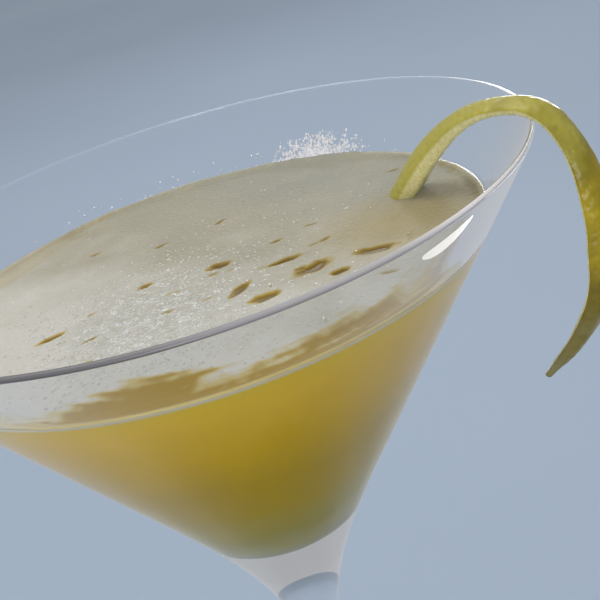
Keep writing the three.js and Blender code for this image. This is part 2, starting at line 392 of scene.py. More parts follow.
# %% Drink
DRINK_LEVEL = drink_high.z
WALL_OVERLAP = 0.25 * MM
MENISCUS_HEIGHT = 0.7 * MM
MENISCUS_REACH = 2.0 * MM
MENISCUS_STEPS = 10
DRINK_STEPS = 192
DRINK_WALL_STEPS = 24


def drink_outline():
    floor_radius = BOWL_FLOOR_RADIUS + WALL_OVERLAP
    bowl_floor = arc((0, bowl_centre), floor_radius, -math.pi / 2, -CONE, BOWL_FLOOR_STEPS)
    top = DRINK_LEVEL + MENISCUS_HEIGHT
    edge = (inner_wall(top) + WALL_OVERLAP / math.cos(CONE), top)
    rise = bezier((
        (inner_wall(top), top),
        (inner_wall(top) - MENISCUS_REACH * 0.2, DRINK_LEVEL + MENISCUS_HEIGHT * 0.25),
        (inner_wall(top) - MENISCUS_REACH * 0.6, DRINK_LEVEL),
        (inner_wall(top) - MENISCUS_REACH, DRINK_LEVEL),
    ), MENISCUS_STEPS)
    side = straight(bowl_floor[-1], edge, DRINK_WALL_STEPS)
    return bowl_floor + side + [edge] + rise + [(0, DRINK_LEVEL)]


# %% [markdown]
# Lemon juice with a little pulp: cloudy, so light goes in, scatters and comes out near by.
# It is painted deep yellow in the cone, lighter near the top and greyer down in the tip, where the
# thin liquid lets light through: this is painted light. Where it wets the wall at the top, a cream
# line is painted for a line of fine bubbles and the painted highlight of the meniscus. It touches
# the glass, so the step of index there is only that of glass over juice, and its face in the wall
# hardly mirrors.

# %% Drink finish
CLOUD_MM = 9
CLOUD_SHARE = 0.16
GLINT_LINE_LOW = DRINK_LEVEL - 0.1 * MM
GLINT_LINE_HIGH = DRINK_LEVEL + 0.35 * MM
GLOW_DEPTH = (5 * MM, 4.6 * MM, 1.5 * MM)
DRINK_IN_GLASS_IOR = 1.12

drink_finish, tree, shader = new_material("cloudy lemon juice")
place = add_node(tree, "ShaderNodeTexCoord")
axes = add_node(tree, "ShaderNodeSeparateXYZ", {"Vector": place.outputs["Object"]})
depth = add_node(tree, "ShaderNodeMapRange", {
    "Value": axes.outputs["Z"],
    "From Min": drink_low.z,
    "From Max": DRINK_LEVEL,
})
clouds = add_node(tree, "ShaderNodeTexNoise", {
    "Vector": place.outputs["Object"],
    "Scale": 1 / (CLOUD_MM * MM),
    "Detail": 3.0,
})
uneven = add_node(tree, "ShaderNodeMath", {
    0: clouds.outputs["Fac"],
    1: CLOUD_SHARE,
    2: depth.outputs["Result"],
}, operation="MULTIPLY_ADD")
# Painted light: lighter near the top and greyer down in the tip.
juice = add_node(tree, "ShaderNodeValToRGB", {"Fac": uneven.outputs["Value"]}, stops=(
    (0.1, "#a4a283"), (0.26, "#a09648"), (0.42, "#aa941a"),
    (0.6, "#b09608"), (0.8, "#c6a60a"), (1.0, "#d6b638"),
))
# Cream line where the drink wets the wall: fine bubbles and a painted highlight of the meniscus.
bubble_and_glint_line = add_node(tree, "ShaderNodeMapRange", {
    "Value": axes.outputs["Z"],
    "From Min": GLINT_LINE_LOW,
    "From Max": GLINT_LINE_HIGH,
})
colour = add_node(tree, "ShaderNodeMix", {
    "Factor": bubble_and_glint_line.outputs["Result"],
    "A": juice.outputs["Color"],
    "B": linear("#d8cfa6"),
}, data_type="RGBA")
set_inputs(tree, shader, {
    "Base Color": colour.outputs["Result"],
    "Roughness": 0.06,
    "IOR": DRINK_IN_GLASS_IOR,
    "Subsurface Weight": 0.6,
    "Subsurface Radius": GLOW_DEPTH,
    "Subsurface Scale": 1.0,
})

drink_mesh = mesh_from(turned(drink_outline(), DRINK_STEPS), "drink_body")
finish_piece("drink_body", drink_mesh, drink_finish, "drink")

# %% [markdown]
# Froth is a skin of fine bubbles on the drink. It thins out before it reaches the near wall, and it
# has openings. The skin is a disc spun from one line and cut finer, and its vertices are then raised
# and sunk: at an opening only a wet film in the colour of the drink is left.

# %% Froth sizes
FROTH_TOP = DRINK_LEVEL + 0.3 * MM
FROTH_SUNK = DRINK_LEVEL + 0.02 * MM
FROTH_BOTTOM = froth_low.z
FROTH_FILM = 0.06 * MM
FROTH_SWELL = 0.08 * MM
FROTH_EDGE = 4.0 * MM
FROTH_RINGS = 29
FROTH_STEPS = 160
FROTH_CUTS = 3
FROTH_CLIMB = 0.9 * MM
FROTH_CLIMB_REACH = 0.8 * MM
FROTH_RIM = inner_wall(DRINK_LEVEL + FROTH_CLIMB) + WALL_OVERLAP
FROTH_UNDERSIDE = 0.93

# Direction in degrees, spread in degrees and depth of each bay in the froth's outline
FROTH_BAYS = ((138, 26, 2.6 * MM), (-109, 16, 3.4 * MM), (-70, 40, 3.0 * MM))

# Middle, length and width in millimetres and turn in degrees of the large openings
FROTH_OPENINGS = (
    (15.4, -15.6, 6.4, 2.6, 22),
    (25.0, -16.6, 5.6, 2.2, -17),
    (7.2, -20.6, 4.2, 2.8, 15),
    (4.2, -14.6, 4.8, 1.9, 51),
    (12.3, -9.2, 5.4, 1.5, 8),
    (18.6, -20.4, 3.2, 1.7, 10),
    (2.6, -2.2, 3.6, 2.2, 16),
    (-9.2, 0.0, 2.6, 1.5, 30),
    (-24.6, -9.2, 4.6, 1.4, 23),
)


def froth_reach(direction):
    reach = np.full_like(direction, inner_wall(DRINK_LEVEL) + FROTH_EDGE)
    for middle, spread, bay_depth in FROTH_BAYS:
        away = direction - math.radians(middle)
        turned_by = np.arctan2(np.sin(away), np.cos(away))
        reach -= (bay_depth + FROTH_EDGE) * np.exp(-(turned_by / math.radians(spread)) ** 2)
    return reach


# %% [markdown]
# The same function that shapes the skin also says where a bubble may sit, so it takes arrays of
# places and gives back how much froth there is, from 0 to 1, and the height of its top.
# The skin itself thins evenly towards a bay, while its colour breaks up in streaks round the wall.

# %% Froth relief
RAGGED_MM = 1.3
STREAK_WIDE_MM = 0.9
STREAK_LONG_MM = 9
WET_RING = 0.7 * MM
THIN_MIDDLE = (33 * MM, -8 * MM)
THIN_WIDE = 15 * MM
THIN_SHARE = 0.4
FILM_COVER = 0.25
RAGGED_REACH = 0.9 * MM
STREAK_REACH = 2.4 * MM
BACK_COVER = 0.8
BACK_REACH = 12 * MM
WET_RING_COVER = 0.5

# An opening is full depth from the second length on, in millimetres, and has none at the first
SHALLOW_LENGTH = 0.5
DEEP_LENGTH = 3.2

# Start and end of an opening's bank and of its stain, as shares of its half length and half width
OPENING_BANK = (0.6, 1.25)
OPENING_STAIN = (0.5, 1.6)
OPENING_RAGGED = 0.35

# Waves of the froth's top along X and Y, in radians a metre
LONG_WAVES = (310, 270)
LONG_WAVE_SHIFT = 0.7
SHORT_WAVES = (800, 600)
SHORT_WAVE_SHARE = 0.5

SEED = 41
SMALL_OPENINGS = 28
WOBBLE_LAYER = 0.37

draw = np.random.default_rng(SEED)
small_openings = np.column_stack((
    draw.normal(4, 17, SMALL_OPENINGS),
    draw.normal(-6, 15, SMALL_OPENINGS),
    draw.uniform(0.9, 2.6, SMALL_OPENINGS),
    draw.uniform(0.5, 0.9, SMALL_OPENINGS),
    draw.normal(14, 16, SMALL_OPENINGS),
))
openings = np.vstack((np.array(FROTH_OPENINGS, float), small_openings))


def wobble(across, along):
    values = [noise.noise((a, b, WOBBLE_LAYER)) for a, b in zip(across.ravel(), along.ravel())]
    return np.array(values).reshape(across.shape)


def froth_at(x, y):
    direction = np.arctan2(y, x)
    out = np.hypot(x, y)
    ragged = wobble(x / (RAGGED_MM * MM), y / (RAGGED_MM * MM))
    round_wall = direction * inner_wall(DRINK_LEVEL)
    streaks = wobble(out / (STREAK_WIDE_MM * MM), round_wall / (STREAK_LONG_MM * MM))
    shore = froth_reach(direction) - out
    wall_gap = np.maximum(inner_wall(DRINK_LEVEL) - out, 0)
    thickness = smooth_step(-FROTH_EDGE / 2, FROTH_EDGE / 2, shore)
    broken = shore + RAGGED_REACH * ragged + STREAK_REACH * streaks
    cover = smooth_step(-FROTH_EDGE / 2, FROTH_EDGE, broken)
    cover = np.maximum(cover, np.maximum(FILM_COVER, BACK_COVER * smooth_step(0, BACK_REACH, y)))
    cover = np.maximum(cover, WET_RING_COVER * (1 - smooth_step(WET_RING / 2, WET_RING, wall_gap)))
    from_thin = np.hypot(x - THIN_MIDDLE[0], y - THIN_MIDDLE[1]) / THIN_WIDE
    cover = cover * (1 - THIN_SHARE * np.exp(-from_thin ** 2))
    closed = np.ones_like(out)
    pale = np.ones_like(out)
    for middle_x, middle_y, length, width, turn_degrees in openings:
        angle = math.radians(turn_degrees)
        dx = x / MM - middle_x
        dy = y / MM - middle_y
        along = (dx * math.cos(angle) + dy * math.sin(angle)) / (length / 2)
        across = (dy * math.cos(angle) - dx * math.sin(angle)) / (width / 2)
        away = np.hypot(along, across) + OPENING_RAGGED * ragged
        open_share = float(smooth_step(SHALLOW_LENGTH, DEEP_LENGTH, length))
        closed = closed * (1 - open_share * (1 - smooth_step(*OPENING_BANK, away)))
        pale = pale * (1 - open_share * (1 - smooth_step(*OPENING_STAIN, away)))
    long_swell = np.sin(LONG_WAVES[0] * x + LONG_WAVE_SHIFT) * np.cos(LONG_WAVES[1] * y)
    short_swell = SHORT_WAVE_SHARE * np.sin(SHORT_WAVES[0] * x - SHORT_WAVES[1] * y)
    swell = FROTH_SWELL * (long_swell + short_swell)
    climb = FROTH_CLIMB * np.exp(-wall_gap / FROTH_CLIMB_REACH)
    top = DRINK_LEVEL + FROTH_FILM + climb + thickness * (FROTH_TOP + swell - DRINK_LEVEL)
    return cover * pale, FROTH_SUNK + closed * (top - FROTH_SUNK)


def froth_mesh():
    profile = [(0, FROTH_BOTTOM), (FROTH_RIM * FROTH_UNDERSIDE, FROTH_BOTTOM)]
    profile += [(FROTH_RIM * ring / FROTH_RINGS, FROTH_TOP) for ring in range(FROTH_RINGS, -1, -1)]
    bm = turned(profile, FROTH_STEPS)
    bmesh.ops.remove_doubles(bm, verts=bm.verts, dist=MERGE_DISTANCE)
    bmesh.ops.subdivide_edges(bm, edges=bm.edges, cuts=FROTH_CUTS, use_grid_fill=True)
    mesh = mesh_from(bm, "froth_skin")
    places = np.empty(len(mesh.vertices) * 3)
    mesh.vertices.foreach_get("co", places)
    places = places.reshape(-1, 3)
    cover, height = froth_at(places[:, 0], places[:, 1])
    share_up = (places[:, 2] - FROTH_BOTTOM) / (FROTH_TOP - FROTH_BOTTOM)
    places[:, 2] = FROTH_BOTTOM + share_up * (height - FROTH_BOTTOM)
    mesh.vertices.foreach_set("co", places.ravel())
    layer = mesh.attributes.new("cover", "FLOAT", "POINT")
    layer.data.foreach_set("value", cover)
    mesh.update()
    return mesh


# %% [markdown]
# Shaken froth: thousands of bubbles too small to count, so it looks like pale satin with a fine
# grain. It is whiter towards the near left and greyer towards the back, and takes on the drink's
# yellow where it thins out, and there its wet film is also smoother.

# %% Froth finish
NEAR_LEFT = (-0.75, -0.66, 0)
FROTH_HALF = 35 * MM
FINE_BUBBLE_MM = 0.75
FROTH_PATCH_MM = 11

froth_finish, tree, shader = new_material("shaken froth")
place = add_node(tree, "ShaderNodeTexCoord")
cover = add_node(tree, "ShaderNodeAttribute", attribute_name="cover")
cells = add_node(tree, "ShaderNodeTexVoronoi", {
    "Vector": place.outputs["Object"],
    "Scale": 1 / (FINE_BUBBLE_MM * MM),
}, feature="SMOOTH_F1")
patches = add_node(tree, "ShaderNodeTexNoise", {
    "Vector": place.outputs["Object"],
    "Scale": 1 / (FROTH_PATCH_MM * MM),
    "Detail": 4.0,
})
near_left = add_node(tree, "ShaderNodeVectorMath", {
    0: place.outputs["Object"],
    1: NEAR_LEFT,
}, operation="DOT_PRODUCT")
depth = add_node(tree, "ShaderNodeMapRange", {
    "Value": near_left.outputs["Value"],
    "From Min": -FROTH_HALF,
    "From Max": FROTH_HALF,
    "To Max": 0.75,
})
whiteness = add_node(tree, "ShaderNodeMath", {
    0: patches.outputs["Fac"],
    1: 0.5,
    2: depth.outputs["Result"],
}, operation="MULTIPLY_ADD")
thick = add_node(tree, "ShaderNodeValToRGB", {"Fac": whiteness.outputs["Value"]}, stops=(
    (0.15, "#9d9c8c"), (0.5, "#b2ac95"), (0.9, "#dbd8cc"),
))
thin = add_node(tree, "ShaderNodeValToRGB", {"Fac": cover.outputs["Fac"]}, stops=(
    (0.0, "#9c8010"), (0.25, "#caa600"), (0.55, "#f0dc94"), (0.9, "#ffffff"),
))
skin = add_node(tree, "ShaderNodeMix", {
    "Factor": 1.0,
    "A": thick.outputs["Color"],
    "B": thin.outputs["Color"],
}, data_type="RGBA", blend_type="MULTIPLY")
wetness = add_node(tree, "ShaderNodeMapRange", {
    "Value": cover.outputs["Fac"],
    "To Min": 0.3,
    "To Max": 0.45,
})
grain = add_node(tree, "ShaderNodeBump", {
    "Height": cells.outputs["Distance"],
    "Strength": cover.outputs["Fac"],
    "Distance": 0.18 * MM,
}, invert=True)
set_inputs(tree, shader, {
    "Base Color": skin.outputs["Result"],
    "Roughness": wetness.outputs["Result"],
    "IOR": 1.34,
    "Subsurface Weight": 0.25,
    "Subsurface Radius": (2.0 * MM, 1.8 * MM, 1.0 * MM),
    "Subsurface Scale": 1.0,
    "Normal": grain.outputs["Normal"],
})

finish_piece("froth_skin", froth_mesh(), froth_finish, "froth")

# %% [markdown]
# Bubbles that can be told apart lie on the froth, most of them on the near left. Each is a small
# sphere half sunk in the skin. Thousands of them share one template, copied by arrays of places
# and sizes into a single mesh. A small white sphere on each of the few large bubbles is a painted
# glint.

# %% Bubbles on the froth
LARGE_PLACES = np.array(((5.1, -4.6), (13.4, -26.1), (12.9, -36.3), (8.4, -17.4))) * MM
GLINT_RADIUS = 0.26 * MM
GLINT_LIFT = 0.4 * MM
WALL_CLEARANCE = 1.0 * MM

# Count, middle and spread in millimetres of each crowd of fine bubbles
FINE_CROWDS = ((4200, (-10, -15), (8, 10)), (700, (2, -8), (20, 20)))
FINE_LEAST_COVER = 0.85
FINE_RADII = (0.12 * MM, 0.34 * MM)
FINE_FLATNESS = 0.32


def sphere_template(subdivisions):
    bm = bmesh.new()
    bmesh.ops.create_icosphere(bm, subdivisions=subdivisions, radius=1.0)
    bm.verts.ensure_lookup_table()
    points = np.array([vert.co[:] for vert in bm.verts])
    faces = np.array([[vert.index for vert in face.verts] for face in bm.faces])
    bm.free()
    return points, faces


def scattered(name, template, places, scales, frames=None):
    points, faces = template
    copies = points[None, :, :] * scales[:, None, :]
    if frames is not None:
        copies = np.einsum("nij,nkj->nki", frames, copies)
    copies = copies + places[:, None, :]
    starts = np.arange(len(places)) * len(points)
    mesh = bpy.data.meshes.new(name)
    mesh.from_pydata(copies.reshape(-1, 3), [], (faces[None] + starts[:, None, None]).reshape(-1, 3))
    return mesh


def places_on_froth(count, middle, spread, least_cover):
    x = draw.normal(middle[0], spread[0], count) * MM
    y = draw.normal(middle[1], spread[1], count) * MM
    inside = np.hypot(x, y) < inner_wall(DRINK_LEVEL) - WALL_CLEARANCE
    x, y = x[inside], y[inside]
    cover_there, height = froth_at(x, y)
    kept = cover_there > least_cover
    return np.column_stack((x[kept], y[kept], height[kept]))


fine_places = np.vstack([places_on_froth(*crowd, FINE_LEAST_COVER) for crowd in FINE_CROWDS])
fine_sizes = draw.uniform(*FINE_RADII, len(fine_places))
fine_scales = np.column_stack((fine_sizes, fine_sizes, fine_sizes * FINE_FLATNESS))
_, large_height = froth_at(LARGE_PLACES[:, 0], LARGE_PLACES[:, 1])
large_places = np.column_stack((LARGE_PLACES, np.maximum(large_height, DRINK_LEVEL)))
# Painted glints: a small white sphere on top of each large bubble.
fine_places = np.vstack((fine_places, large_places + (0, 0, GLINT_LIFT)))
fine_scales = np.vstack((fine_scales, np.full((len(large_places), 3), GLINT_RADIUS)))
fine_mesh = scattered("fine_bubbles", sphere_template(1), fine_places, fine_scales)

# %% [markdown]
# The film of a bubble in froth is wet: it is nearly as pale as the froth, with a sharp glint.

# %% Fine bubble finish
FILM_MOTTLE_MM = 2.0

bubble_finish, tree, shader = new_material("wet froth film")
place = add_node(tree, "ShaderNodeTexCoord")
mottle = add_node(tree, "ShaderNodeTexNoise", {
    "Vector": place.outputs["Object"],
    "Scale": 1 / (FILM_MOTTLE_MM * MM),
    "Detail": 2.0,
})
film = add_node(tree, "ShaderNodeValToRGB", {"Fac": mottle.outputs["Fac"]}, stops=(
    (0.35, "#d8d5c8"), (0.65, "#f6f5f0"),
))
set_inputs(tree, shader, {
    "Base Color": film.outputs["Color"],
    "Roughness": 0.12,
    "IOR": 1.34,
})

finish_piece("fine_bubbles", fine_mesh, bubble_finish)

# %% [markdown]
# A few large bubbles are clear: their film shows only as a glint and a thin ring. They are spheres
# of water, flattened a little and half sunk, some at the places where the largest ones lie.

# %% Clear bubbles
CLEAR_CROWD = (14, (2, -10), (20, 16))
CLEAR_LEAST_COVER = 0.5
CLEAR_RADII = (0.25 * MM, 0.45 * MM)
LARGE_RADII = (0.5 * MM, 0.7 * MM)
CLEAR_FLATNESS = 0.75

clear_places = places_on_froth(*CLEAR_CROWD, CLEAR_LEAST_COVER)
clear_sizes = np.concatenate((
    draw.uniform(*CLEAR_RADII, len(clear_places)),
    draw.uniform(*LARGE_RADII, len(large_places)),
))
clear_places = np.vstack((clear_places, large_places))
clear_scales = np.column_stack((clear_sizes, clear_sizes, clear_sizes * CLEAR_FLATNESS))
clear_mesh = scattered("clear_bubbles", sphere_template(3), clear_places, clear_scales)

# %% [markdown]
# A film of water is clear and smooth, with a faint ripple that moves its glint.

# %% Clear bubble finish
SWIRL_MM = 1.5

clear_finish, tree, shader = new_material("clear water film")
place = add_node(tree, "ShaderNodeTexCoord")
swirl = add_node(tree, "ShaderNodeTexNoise", {
    "Vector": place.outputs["Object"],
    "Scale": 1 / (SWIRL_MM * MM),
})
ripple = add_node(tree, "ShaderNodeBump", {
    "Height": swirl.outputs["Fac"],
    "Strength": 0.1,
    "Distance": 0.2 * MM,
})
set_inputs(tree, shader, {
    "Base Color": linear("#fdfcf4"),
    "Roughness": 0.0,
    "IOR": 1.33,
    "Transmission Weight": 1.0,
    "Normal": ripple.outputs["Normal"],
})
clear_bubbles = finish_piece("clear_bubbles", clear_mesh, clear_finish)
clear_bubbles.visible_shadow = False

# %% [markdown]
# Froth that splashed on the inside of the bowl has left small wet blobs on the back wall, just above
# the drink. They are flattened spheres laid on the cone, crowded in one patch and sparse beside it.

# %% Froth left on the wall
WALL_LOW = DRINK_LEVEL + 1.0 * MM

# Count, middle and spread in degrees round the wall, and the highest place
PATCH_DROPS = (900, 53, 4.6, DRINK_LEVEL + 5.4 * MM)
STRAY_DROPS = (60, 80, 22, DRINK_LEVEL + 4.6 * MM)
PATCH_RADII = (0.06 * MM, 0.34 * MM)
STRAY_RADII = (0.08 * MM, 0.24 * MM)

# Width, length up the wall and height of a drop as shares of its radius
DROP_SHAPE = np.array((0.9, 1.3, 0.2))


def places_on_wall(count, middle_degrees, spread_degrees, high):
    direction = np.radians(draw.normal(middle_degrees, spread_degrees, count))
    height = draw.uniform(WALL_LOW, high, count)
    height = WALL_LOW + (height - WALL_LOW) * draw.uniform(0.1, 1.0, count)
    radius = inner_wall(height)
    return np.column_stack((radius * np.cos(direction), radius * np.sin(direction), height)), direction


patch_places, patch_directions = places_on_wall(*PATCH_DROPS)
stray_places, stray_directions = places_on_wall(*STRAY_DROPS)
wall_places = np.vstack((patch_places, stray_places))
wall_directions = np.concatenate((patch_directions, stray_directions))
wall_sizes = np.concatenate((
    draw.uniform(*PATCH_RADII, len(patch_places)),
    draw.uniform(*STRAY_RADII, len(stray_places)),
))
wall_scales = wall_sizes[:, None] * DROP_SHAPE
wall_cos = np.cos(wall_directions)
wall_sin = np.sin(wall_directions)
around = np.column_stack((-wall_sin, wall_cos, np.zeros_like(wall_cos)))
inward = np.column_stack((
    -wall_cos * math.cos(CONE),
    -wall_sin * math.cos(CONE),
    np.full_like(wall_cos, math.sin(CONE)),
))
uphill = np.cross(inward, around)
wall_frames = np.stack((around, uphill, inward), axis=2)
wall_mesh = scattered("wall_froth", sphere_template(1), wall_places, wall_scales, wall_frames)

# %% [markdown]
# The drops are froth that has drained: white, wet and shiny, and a little uneven in tone. Their white
# is partly a painted highlight, for the glints of light on the wet film.

# %% Finish of the drops
DROP_MOTTLE_MM = 1.0

splash_finish, tree, shader = new_material("froth drops with painted glints")
place = add_node(tree, "ShaderNodeTexCoord")
mottle = add_node(tree, "ShaderNodeTexNoise", {
    "Vector": place.outputs["Object"],
    "Scale": 1 / (DROP_MOTTLE_MM * MM),
})
# Partly painted highlight: the bright white stands for glints on the wet drops.
white = add_node(tree, "ShaderNodeValToRGB", {"Fac": mottle.outputs["Fac"]}, stops=(
    (0.3, "#e2e4ea"), (0.6, "#fbfbff"),
))
set_inputs(tree, shader, {
    "Base Color": white.outputs["Color"],
    "Roughness": 0.08,
    "IOR": 1.34,
})
finish_piece("wall_froth", wall_mesh, splash_finish)

# %% [markdown]
# The twist is a strip cut from a lemon with a channel knife: yellow zest outside, pale pith inside.
# It starts in the drink, hooks over the rim and hangs outside with a pointed end.
# One ring of its section is extruded again and again, and each new ring is set on the route.

# %% Peel sizes
PEEL_START = Vector((35.2 * MM, 3.7 * MM, 0))
PEEL_HEADING = math.radians(-53.8)
PEEL_RINGS = 260
ROUTE_STEPS = 40
ZEST_POINTS = 18
CROWN_EDGE = 0.06
CROWN_RISE = 1.76

# Middle line: distance along the heading and height over the rim, in millimetres
PEEL_ROUTE = (
    (-4, -17), (0, -12.2), (7.5, -4.7), (15.6, 0.6), (23.2, 2.3), (28.9, 1.4),
    (32.6, -2.7), (34.8, -9), (35.1, -17.9), (33.3, -27), (28, -35.8), (20.8, -43.6),
)

# Share of the length, width, thickness and roll of the zest face in degrees
PEEL_STATIONS = (
    (0.0, 6.6, 4.2, 13), (0.14, 6.4, 4.1, 13), (0.4, 4.5, 2.0, 7), (0.5, 4.4, 1.7, 10),
    (0.6, 4.8, 1.9, 24), (0.7, 4.9, 1.9, 30), (0.82, 3.9, 1.8, 34), (0.92, 2.8, 1.4, 40),
    (1.0, 1.3, 0.8, 42),
)


def peel_route(count):
    heading = Vector((math.cos(PEEL_HEADING), math.sin(PEEL_HEADING), 0))
    knots = [PEEL_START + heading * along * MM + Vector((0, 0, RIM_HEIGHT + height * MM))
             for along, height in PEEL_ROUTE]
    knots = [2 * knots[0] - knots[1]] + knots + [2 * knots[-1] - knots[-2]]
    points = []
    for before, start, end, after in zip(knots, knots[1:], knots[2:], knots[3:]):
        for i in range(ROUTE_STEPS):
            t = i / ROUTE_STEPS
            points.append(0.5 * (2 * start + (end - before) * t
                                 + (2 * before - 5 * start + 4 * end - after) * t * t
                                 + (3 * start - before - 3 * end + after) * t ** 3))
    points.append(knots[-2])
    lengths = np.concatenate(([0], np.cumsum([(b - a).length for a, b in zip(points, points[1:])])))
    even = np.linspace(0, lengths[-1], count)
    table = np.array([point[:] for point in points])
    columns = [np.interp(even, lengths, table[:, axis]) for axis in range(3)]
    return [Vector(row) for row in np.column_stack(columns)]


def peel_station(share):
    for (low, *sizes), (high, *next_sizes) in zip(PEEL_STATIONS, PEEL_STATIONS[1:]):
        if share <= high:
            ease = float(smooth_step(low, high, share))
            return [a + (b - a) * ease for a, b in zip(sizes, next_sizes)]
    return list(PEEL_STATIONS[-1][1:])


def peel_section():
    shares = [i / ZEST_POINTS for i in range(ZEST_POINTS + 1)]
    crown = [(-0.5 + share, CROWN_EDGE + CROWN_RISE * share * (1 - share), 1.0) for share in shares]
    pith = [(0.49, -0.06), (0.48, -0.2), (0.46, -0.33), (0.41, -0.43),
            (0.32, -0.49), (0.16, -0.5), (0.0, -0.5)]
    right_side = [(x, y, 0.0) for x, y in pith]
    left_side = [(-x, y, 0.0) for x, y in reversed(pith[:-1])]
    return crown + right_side + left_side


# %% [markdown]
# The knife never cuts an even strip, so the width wanders a little and the pith is rough.
# Each vertex notes whether it is zest or pith and how far along the strip it is, and the finish
# reads these notes.

# %% Peel mesh
EDGE_WANDER = 0.05
WANDER_WAVES = 16
ROUGH_MM = 0.9
ZEST_ROUGH = 0.07 * MM
PITH_ROUGH = 0.12 * MM


def peel_mesh():
    section = peel_section()
    side = Vector((math.cos(PEEL_HEADING), math.sin(PEEL_HEADING), 0)).cross(Vector((0, 0, 1)))
    route = peel_route(PEEL_RINGS)
    bm = bmesh.new()
    zest_note = bm.verts.layers.float.new("zest")
    share_note = bm.verts.layers.float.new("share")
    ring = []
    for index, point in enumerate(route):
        share = index / (PEEL_RINGS - 1)
        width, thickness, roll = peel_station(share)
        after = route[min(index + 1, PEEL_RINGS - 1)]
        before = route[max(index - 1, 0)]
        along = (after - before).normalized()
        outer = side.cross(along)
        zest = outer * math.cos(math.radians(roll)) + side * math.sin(math.radians(roll))
        across = zest.cross(along)
        spots = []
        for x, y, kind in section:
            edge_row = 3.0 if x > 0 else 8.0
            wander = 1 + EDGE_WANDER * noise.noise((share * WANDER_WAVES, edge_row, 0.2))
            place = point + across * (x * width * MM * wander) + zest * (y * thickness * MM)
            rough = noise.noise(place / (ROUGH_MM * MM)) * (ZEST_ROUGH if kind else PITH_ROUGH)
            spots.append(place + zest * rough)
        if not ring:
            ring = [bm.verts.new(spot) for spot in spots]
            first = ring
            edges = [bm.edges.new(pair) for pair in zip(ring, ring[1:] + ring[:1])]
        else:
            made = bmesh.ops.extrude_edge_only(bm, edges=edges)["geom"]
            edges = [item for item in made if isinstance(item, bmesh.types.BMEdge)
                     and not any(vert in ring for vert in item.verts)]
            linked = {vert: next(e.other_vert(vert) for e in vert.link_edges if e not in edges)
                      for edge in edges for vert in edge.verts}
            partner = {old: new for new, old in linked.items()}
            ring = [partner[old] for old in ring]
            for vert, spot in zip(ring, spots):
                vert.co = spot
        for vert, (x, y, kind) in zip(ring, section):
            vert[zest_note] = kind
            vert[share_note] = share
    bm.faces.new(first)
    bm.faces.new(ring)
    return mesh_from(bm, "peel_twist")


# %% [markdown]
# Zest is waxy and pitted with oil glands about a millimetre apart. Along the strip its yellow carries
# painted light and shade: pale and greenish where the strip rises in the light, then deep yellow with
# bands of painted shade where it hangs outside, and dull and brownish at the tip. Pith is matt,
# fibrous and cream coloured. The peel is left out of mirror images, because its image would draw a
# thin line along the near wall of the bowl.

# %% Peel finish
GLAND_MM = 1.0
BLUSH_MM = 7
FIBRE_MM = 0.5
BLUSH_SHARE = 0.25
LENGTH_SHARE = 0.6

peel_finish, tree, shader = new_material("lemon zest and pith")
place = add_node(tree, "ShaderNodeTexCoord")
note = add_node(tree, "ShaderNodeAttribute", attribute_name="zest")
length = add_node(tree, "ShaderNodeAttribute", attribute_name="share")
glands = add_node(tree, "ShaderNodeTexVoronoi", {
    "Vector": place.outputs["Object"],
    "Scale": 1 / (GLAND_MM * MM),
}, feature="SMOOTH_F1")
blush = add_node(tree, "ShaderNodeTexNoise", {
    "Vector": place.outputs["Object"],
    "Scale": 1 / (BLUSH_MM * MM),
    "Detail": 4.0,
})
fibres = add_node(tree, "ShaderNodeTexNoise", {
    "Vector": place.outputs["Object"],
    "Scale": 1 / (FIBRE_MM * MM),
    "Detail": 4.0,
})
# Painted light and shade along the strip: the colour is read from how far along it a point lies.
painted_light_along_strip = add_node(tree, "ShaderNodeMapRange", {
    "Value": length.outputs["Fac"],
    "To Max": LENGTH_SHARE,
})
tone = add_node(tree, "ShaderNodeMath", {
    0: blush.outputs["Fac"],
    1: BLUSH_SHARE,
    2: painted_light_along_strip.outputs["Result"],
}, operation="MULTIPLY_ADD")
zest_colour = add_node(tree, "ShaderNodeValToRGB", {"Fac": tone.outputs["Value"]}, stops=(
    (0.18, "#b4ad48"), (0.36, "#b9b04c"), (0.43, "#8d7e10"),
    (0.5, "#b8a004"), (0.6, "#776912"), (0.7, "#8a8050"),
))
pith_colour = add_node(tree, "ShaderNodeValToRGB", {"Fac": fibres.outputs["Fac"]}, stops=(
    (0.35, "#d3cc88"), (0.65, "#e6e1b0"),
))
colour = add_node(tree, "ShaderNodeMix", {
    "Factor": note.outputs["Fac"],
    "A": pith_colour.outputs["Color"],
    "B": zest_colour.outputs["Color"],
}, data_type="RGBA")
pits = add_node(tree, "ShaderNodeBump", {
    "Height": glands.outputs["Distance"],
    "Strength": 0.6,
    "Distance": 0.4 * MM,
})
set_inputs(tree, shader, {
    "Base Color": colour.outputs["Result"],
    "Roughness": 0.38,
    "IOR": 1.45,
    "Subsurface Weight": 0.2,
    "Subsurface Radius": (1.6 * MM, 1.2 * MM, 0.4 * MM),
    "Subsurface Scale": 1.0,
    "Normal": pits.outputs["Normal"],
})

peel = finish_piece("peel_twist", peel_mesh(), peel_finish, "lemon_twist")
peel.visible_glossy = False

# %% [markdown]
# The stage is a plain pale floor. It is cool in tone, so the clear glass and the yellow drink stand
# out from it, and it runs far past the view.

# %% Floor
FLOOR_HALF = 6.0
FLOOR_DROP = 0.3 * MM

